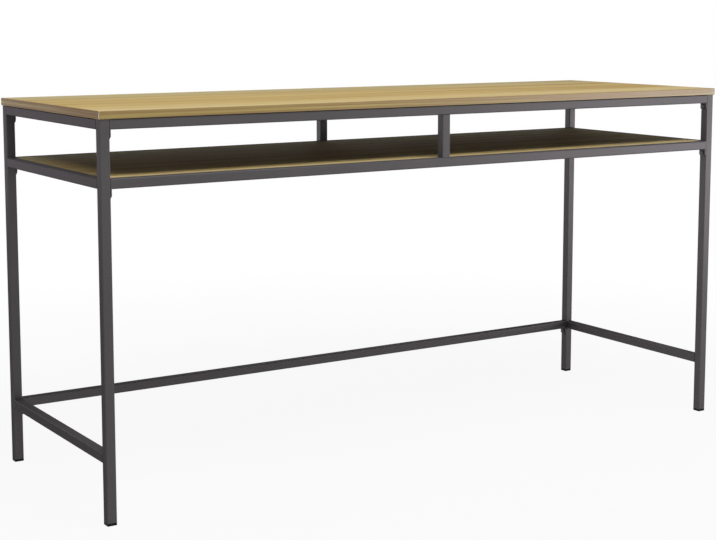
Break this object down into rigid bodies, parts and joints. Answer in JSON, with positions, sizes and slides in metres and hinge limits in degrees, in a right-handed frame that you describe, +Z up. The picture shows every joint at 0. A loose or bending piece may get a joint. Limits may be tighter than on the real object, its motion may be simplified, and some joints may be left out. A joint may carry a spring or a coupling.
{
  "type": "writing desk",
  "caption": "Long writing desk: slim square-tube steel frame, wood-look top, and an open shelf split by centre posts under the top.",
  "frame": {"origin": "on the floor, under the centre of the desk", "axes": "+Z up, +X along the length to the right end as a sitter sees it, +Y to the rear; the open knee side is at -Y"},
  "size_m": [1.524, 0.504, 0.762],
  "materials": {
    "oak_laminate": "matte wood-look laminate",
    "edge_band": "printed edge band",
    "graphite_paint": "satin powder coat",
    "foot_plastic": "moulded",
    "dark_zinc": "black zinc",
    "bare_steel": "bright zinc"
  },
  "bodies": {
    "root": {"top_panel": "oak_laminate", "shelf_panel": "oak_laminate", "top_front_edge_band": "edge_band", "top_rear_edge_band": "edge_band", "top_left_edge_band": "edge_band", "top_right_edge_band": "edge_band", "left_front_leg": "graphite_paint", "left_rear_leg": "graphite_paint", "right_front_leg": "graphite_paint", "right_rear_leg": "graphite_paint", "left_top_rail": "graphite_paint", "left_shelf_rail": "graphite_paint", "left_foot_rail": "graphite_paint", "right_top_rail": "graphite_paint", "right_shelf_rail": "graphite_paint", "right_foot_rail": "graphite_paint", "front_top_rail": "graphite_paint", "front_shelf_rail": "graphite_paint", "rear_top_rail": "graphite_paint", "rear_shelf_rail": "graphite_paint", "rear_foot_rail": "graphite_paint", "front_post": "graphite_paint", "rear_post": "graphite_paint", "front_top_left_end_plate": "graphite_paint", "front_top_right_end_plate": "graphite_paint", "front_shelf_left_end_plate": "graphite_paint", "front_shelf_right_end_plate": "graphite_paint", "rear_top_left_end_plate": "graphite_paint", "rear_top_right_end_plate": "graphite_paint", "rear_shelf_left_end_plate": "graphite_paint", "rear_shelf_right_end_plate": "graphite_paint", "rear_foot_left_end_plate": "graphite_paint", "rear_foot_right_end_plate": "graphite_paint", "front_shelf_tab_left": "graphite_paint", "front_shelf_tab_centre": "graphite_paint", "front_shelf_tab_right": "graphite_paint", "rear_shelf_tab_left": "graphite_paint", "rear_shelf_tab_centre": "graphite_paint", "rear_shelf_tab_right": "graphite_paint", "left_shelf_tab": "graphite_paint", "right_shelf_tab": "graphite_paint", "left_front_foot": "foot_plastic", "left_rear_foot": "foot_plastic", "right_front_foot": "foot_plastic", "right_rear_foot": "foot_plastic", "frame_bolts": "dark_zinc", "top_screws": "dark_zinc", "frame_weld_nuts": "bare_steel"}
  },
  "joints": []
}
